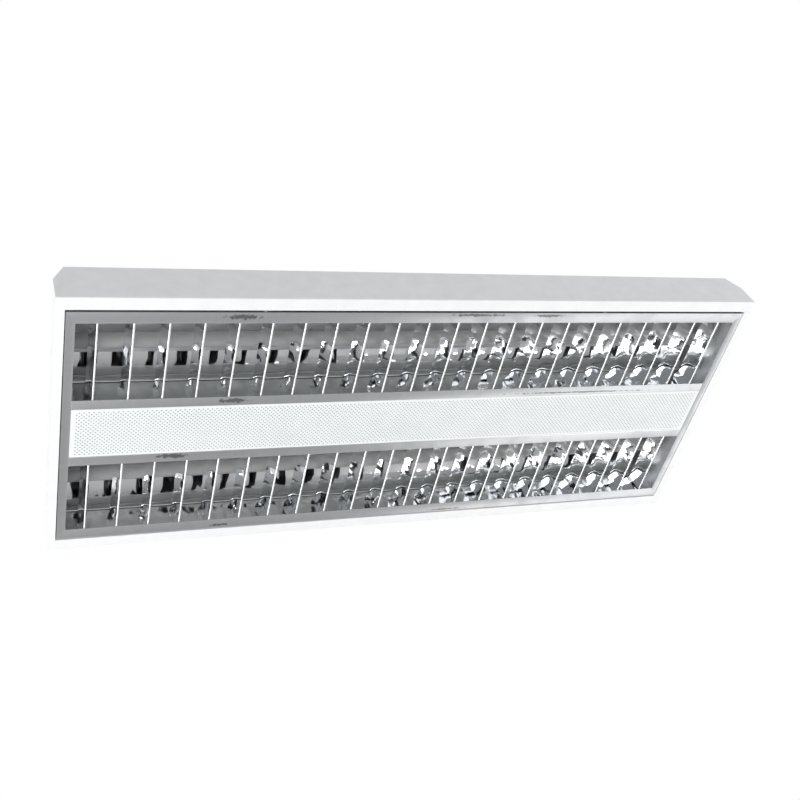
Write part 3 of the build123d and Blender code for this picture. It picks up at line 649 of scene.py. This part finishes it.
# The patches mix the rails' colour towards near black, painting dark reflections into it.
reflection_patch_strength = add_node(rail_tree, "ShaderNodeMath", -1000, 0, operation="MULTIPLY")
reflection_patch_strength.inputs[1].default_value = 0.75
reflection_patch_mix = add_node(rail_tree, "ShaderNodeMix", -300, 500, data_type="RGBA")
reflection_patch_mix.inputs["B"].default_value = (0.12, 0.12, 0.12, 1)
rail_tree.links.new(reflection_patch_sum, reflection_patch_strength.inputs[0])
rail_tree.links.new(reflection_patch_strength.outputs[0], reflection_patch_mix.inputs["Factor"])
rail_tree.links.new(rail_shader.inputs["Base Color"].links[0].from_socket, reflection_patch_mix.inputs["A"])
rail_tree.links.new(reflection_patch_mix.outputs["Result"], rail_shader.inputs["Base Color"])
for rail_name in ("near", "far", "left", "right", "mid_near", "mid_far"):
    rail = eased_copy(f"frame_rail_{rail_name}", f"optic_rail_{rail_name}", rail_edge)
    rail.data.materials.append(rail_satin)
    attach(rail, "optic")
    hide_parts(f"optic_rail_{rail_name}")
finish(screw_zinc, "corner_angles")

# Trough walls. Bright anodised strips curve up from the rails to the mouths of the trays, and
# flat plates of a satin sheet close the ends.
finish(
    bright_aluminium, "trough_wall_near_inner", "trough_wall_near_outer", "trough_wall_far_inner",
    "trough_wall_far_outer",
)
satin_aluminium = rolled_metal(
    "satin_aluminium", (0.84, 0.85, 0.86), (0.76, 0.77, 0.78), 25, 20, (1.0, 1.0, 1.0), 0.0004,
    0.02, 0.38, 0.1,
)
finish(satin_aluminium, "trough_ends_near", "trough_ends_far")

# Cross blades. Each is folded from bright sheet into a hollow-sided V with a round tip, and
# pushed through slots in the trough walls.
blade_aluminium = rolled_metal(
    "blade_aluminium", (0.87, 0.88, 0.89), (0.81, 0.82, 0.83), 30, 40, (0.5, 1.0, 0.5), 0.0008,
    0.002, 0.05, 0.05,
)
# The sides that face into the V are duller. They are found from the place of each face along
# the louvre and from the way it faces.
blade_pitch = 0.05375
blade_tree = blade_aluminium.node_tree
blade_shader = blade_tree.nodes["Principled BSDF"]
blade_place = add_node(blade_tree, "ShaderNodeTexCoord", -1500, 700)
blade_axes = add_node(blade_tree, "ShaderNodeSeparateXYZ", -1300, 700)
blade_number = add_node(blade_tree, "ShaderNodeMath", -1100, 700, operation="DIVIDE")
blade_number.inputs[1].default_value = blade_pitch
blade_part = add_node(blade_tree, "ShaderNodeMath", -900, 700, operation="FRACT")
from_middle = add_node(blade_tree, "ShaderNodeMath", -700, 700, operation="SUBTRACT")
from_middle.inputs[1].default_value = 0.5
facing = add_node(blade_tree, "ShaderNodeNewGeometry", -1300, 500)
facing_axes = add_node(blade_tree, "ShaderNodeSeparateXYZ", -1100, 500)
inward = add_node(blade_tree, "ShaderNodeMath", -500, 600, operation="MULTIPLY")
inner_side = add_node(blade_tree, "ShaderNodeMath", -300, 600, operation="LESS_THAN")
inner_side.inputs[1].default_value = 0.0
inner_rough = add_node(blade_tree, "ShaderNodeMath", -100, 500, operation="MULTIPLY_ADD")
inner_rough.inputs[1].default_value = 0.25
blade_tree.links.new(blade_place.outputs["Object"], blade_axes.inputs[0])
blade_tree.links.new(blade_axes.outputs["X"], blade_number.inputs[0])
blade_tree.links.new(blade_number.outputs[0], blade_part.inputs[0])
blade_tree.links.new(blade_part.outputs[0], from_middle.inputs[0])
blade_tree.links.new(facing.outputs["True Normal"], facing_axes.inputs[0])
blade_tree.links.new(from_middle.outputs[0], inward.inputs[0])
blade_tree.links.new(facing_axes.outputs["X"], inward.inputs[1])
blade_tree.links.new(inward.outputs[0], inner_side.inputs[0])
blade_tree.links.new(inner_side.outputs[0], inner_rough.inputs[0])
blade_tree.links.new(blade_shader.inputs["Roughness"].links[0].from_socket, inner_rough.inputs[2])
blade_tree.links.new(inner_rough.outputs[0], blade_shader.inputs["Roughness"])
finish(blade_aluminium, "cross_blades_near", "cross_blades_far")

# Centre panel. Thin white steel sheet, punched all over with a close staggered pattern of small
# round holes, its long edges folded up to stiffen it.
panel_half_length = 0.5959
panel_half_width = 0.0495
panel_room_z = -0.083
panel_top_z = -0.075
panel_sheet = 0.0008
panel_fold = 0.0012
hole_cell = 0.00375
hole_radius = 0.0015
cells_along = 314
cells_across = 24


def folded_place(s):
    """Where a width s from the middle of the flat sheet lies after the long edges are folded."""
    side = 1 if s > 0 else -1
    run = abs(s) - (panel_half_width - panel_fold)
    if run <= 0:
        return Vector((s, panel_room_z)), Vector((0, 1))
    turn = run / panel_fold
    corner = Vector((panel_half_width - panel_fold, panel_room_z + panel_fold))
    if turn < math.pi / 2:
        out = Vector((math.sin(turn), -math.cos(turn)))
        spot = corner + out * panel_fold
    else:
        out = Vector((1, 0))
        spot = corner + out * panel_fold + Vector((0, run - panel_fold * math.pi / 2))
    return Vector((side * spot.x, spot.y)), Vector((-side * out.x, -out.y))


hole_xs = [(i - cells_along / 2) * hole_cell for i in range(cells_along + 1)]
column_xs = [-panel_half_length] + hole_xs + [panel_half_length]
hole_ss = [(j - cells_across / 2) * hole_cell for j in range(cells_across + 1)]
fold_start = panel_half_width - panel_fold
fold_steps = 4
edge_ss = [fold_start + panel_fold * math.pi / 2 * k / fold_steps for k in range(fold_steps + 1)]
edge_ss.append(edge_ss[-1] + panel_top_z - panel_room_z - panel_fold)
row_ss = [-s for s in reversed(edge_ss)] + hole_ss + edge_ss
panel_vertices = []
panel_faces = []


def sheet_vertex(x, s):
    """Adds the room side vertex and the back one at a place on the flat sheet."""
    spot, inward = folded_place(s)
    back = spot + inward * panel_sheet
    panel_vertices.append((x, spot.x, spot.y))
    panel_vertices.append((x, back.x, back.y))
    return len(panel_vertices) - 2


# The flat sheet is a grid of cells. Every second one has an eight-sided hole, and a face from
# each side of the cell reaches to two sides of the hole.
corners = [[sheet_vertex(x, s) for s in row_ss] for x in column_xs]
first_row = len(edge_ss)
for i in range(len(column_xs) - 1):
    for j in range(len(row_ss) - 1):
        ring = (corners[i][j], corners[i + 1][j], corners[i + 1][j + 1], corners[i][j + 1])
        punched = 1 <= i <= cells_along and first_row <= j < first_row + cells_across
        if punched and (i + j) % 2 == 0:
            middle_x = (column_xs[i] + column_xs[i + 1]) / 2
            middle_s = (row_ss[j] + row_ss[j + 1]) / 2
            hole = [
                sheet_vertex(
                    middle_x + hole_radius * math.cos(math.radians(225 + 45 * k)),
                    middle_s + hole_radius * math.sin(math.radians(225 + 45 * k)),
                )
                for k in range(8)
            ]
            for k in range(4):
                a, b = ring[k], ring[(k + 1) % 4]
                c, d, e = hole[(2 * k + 2) % 8], hole[2 * k + 1], hole[2 * k]
                panel_faces.append((a, e, d, c, b))
                panel_faces.append((a + 1, b + 1, c + 1, d + 1, e + 1))
            for k in range(8):
                a, b = hole[k], hole[(k + 1) % 8]
                panel_faces.append((a, a + 1, b + 1, b))
        else:
            a, b, c, d = ring
            panel_faces.append((a, d, c, b))
            panel_faces.append((a + 1, b + 1, c + 1, d + 1))
last_column, last_row = len(column_xs) - 1, len(row_ss) - 1
for i in range(last_column):
    a, b = corners[i][0], corners[i + 1][0]
    panel_faces.append((a, b, b + 1, a + 1))
    a, b = corners[i][last_row], corners[i + 1][last_row]
    panel_faces.append((a, a + 1, b + 1, b))
for j in range(last_row):
    a, b = corners[0][j], corners[0][j + 1]
    panel_faces.append((a, a + 1, b + 1, b))
    a, b = corners[last_column][j], corners[last_column][j + 1]
    panel_faces.append((a, b, b + 1, a + 1))
panel_mesh = bpy.data.meshes.new("punched_panel")
panel_mesh.from_pydata(panel_vertices, [], panel_faces)
panel_mesh.update()
panel = smooth_piece("punched_panel", panel_mesh, sheet_crease_degrees)
panel_coat = coated(
    "panel_powder_coat", (0.86, 0.875, 0.875), (0.81, 0.83, 0.835), 22, 500, 0.00004, 0.45, 0.1
)
panel_mesh.materials.append(panel_coat)
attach(panel, "optic")
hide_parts("centre_panel")

# Diffusing film. A matt translucent sheet lies in the panel and shows through its holes. Its
# dark grey is partly the film's own tone and partly painted shade for the dim holes.
film_matt_painted_shade = coated("film_matt_painted_shade", (0.40, 0.42, 0.42), (0.33, 0.35, 0.35), 12, 2500, 0.00002, 0.55, 0.1)
finish(film_matt_painted_shade, "diffuser_film")

# Hinges. Folded zinc plated brackets on the long wall, pins with riveted heads, and eyes on the
# optic's far rail.
bracket_zinc = plated("bracket_zinc", (0.64, 0.65, 0.66), (0.45, 0.46, 0.47), 260, 0.3)
finish(bracket_zinc, "hinge_brackets", "hinge_pins", "hinge_lugs")

# Catches. Turned barrels behind the near rail, and round-nosed plungers pushed out by springs.
finish(bracket_zinc, "catch_barrels")
plunger_steel = plated("plunger_steel", (0.70, 0.71, 0.72), (0.50, 0.51, 0.52), 800, 0.18)
finish(plunger_steel, "catch_plunger_left", "catch_plunger_right")
